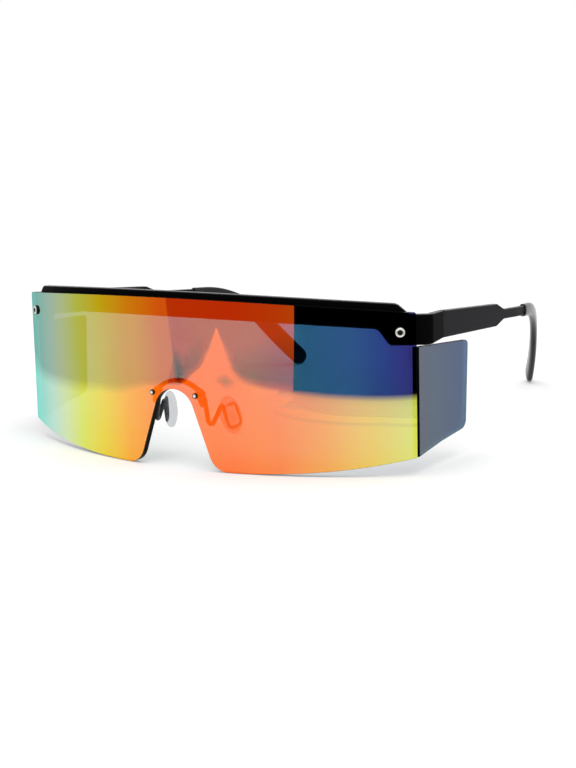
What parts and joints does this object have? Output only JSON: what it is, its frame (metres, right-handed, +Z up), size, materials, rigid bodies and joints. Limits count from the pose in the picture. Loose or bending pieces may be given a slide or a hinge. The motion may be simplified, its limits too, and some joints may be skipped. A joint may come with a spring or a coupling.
{
  "type": "shield sunglasses",
  "caption": "Shield sunglasses with a one-piece mirrored front lens, side lenses, a metal brow bar, wire nose arms with soft pads and folding temples.",
  "frame": {"origin": "middle of the underside: on the table, half way between the front of the lens and the rear of the ear tips", "axes": "+X to the wearer's left, +Y from the lens back to the ear tips, +Z up; the glasses stand open on the lens and both tips"},
  "size_m": [0.1464, 0.1505, 0.0526],
  "materials": {
    "mirror_lens": "polycarbonate with a multicolour mirror coating",
    "side_lens": "tinted polycarbonate with a light silver flash",
    "black_metal": "satin black lacquer",
    "temple_metal": "satin dark grey plating",
    "black_wire": "semi-gloss black lacquer",
    "hinge_metal": "dark plated",
    "polished_steel": "polished",
    "clear_bush": "clear nylon",
    "clear_silicone": "clear silicone",
    "tip_acetate": "polished black acetate"
  },
  "bodies": {
    "front": {"shield_lens": "mirror_lens", "brow_bar": "black_metal", "side_lens_left": "side_lens", "side_lens_right": "side_lens", "end_screws": "polished_steel", "end_bushes": "clear_bush", "bridge_screws": "polished_steel", "bridge_bushes": "clear_bush", "bridge_nuts": "polished_steel", "nose_bridge": "black_wire", "nose_arm_left": "black_wire", "nose_arm_right": "black_wire", "nose_pad_left": "clear_silicone", "nose_pad_right": "clear_silicone", "front_hinge_left": "hinge_metal", "front_hinge_right": "hinge_metal", "hinge_screw_left": "polished_steel", "hinge_screw_right": "polished_steel"},
    "temple_left": {"temple_left": "temple_metal", "temple_tip_left": "tip_acetate", "temple_hinge_left": "hinge_metal"},
    "temple_right": {"temple_right": "temple_metal", "temple_tip_right": "tip_acetate", "temple_hinge_right": "hinge_metal"}
  },
  "joints": [
    {"name": "left_temple_fold", "type": "hinge", "parent": "front", "child": "temple_left", "pos_m": [0.06906, -0.04106, 0.04149], "axis": [0, 0.041, 0.9992], "range_deg": [0, 88]},
    {"name": "right_temple_fold", "type": "hinge", "parent": "front", "child": "temple_right", "pos_m": [-0.06906, -0.04106, 0.04149], "axis": [0, -0.041, -0.9992], "range_deg": [0, 80]}
  ]
}
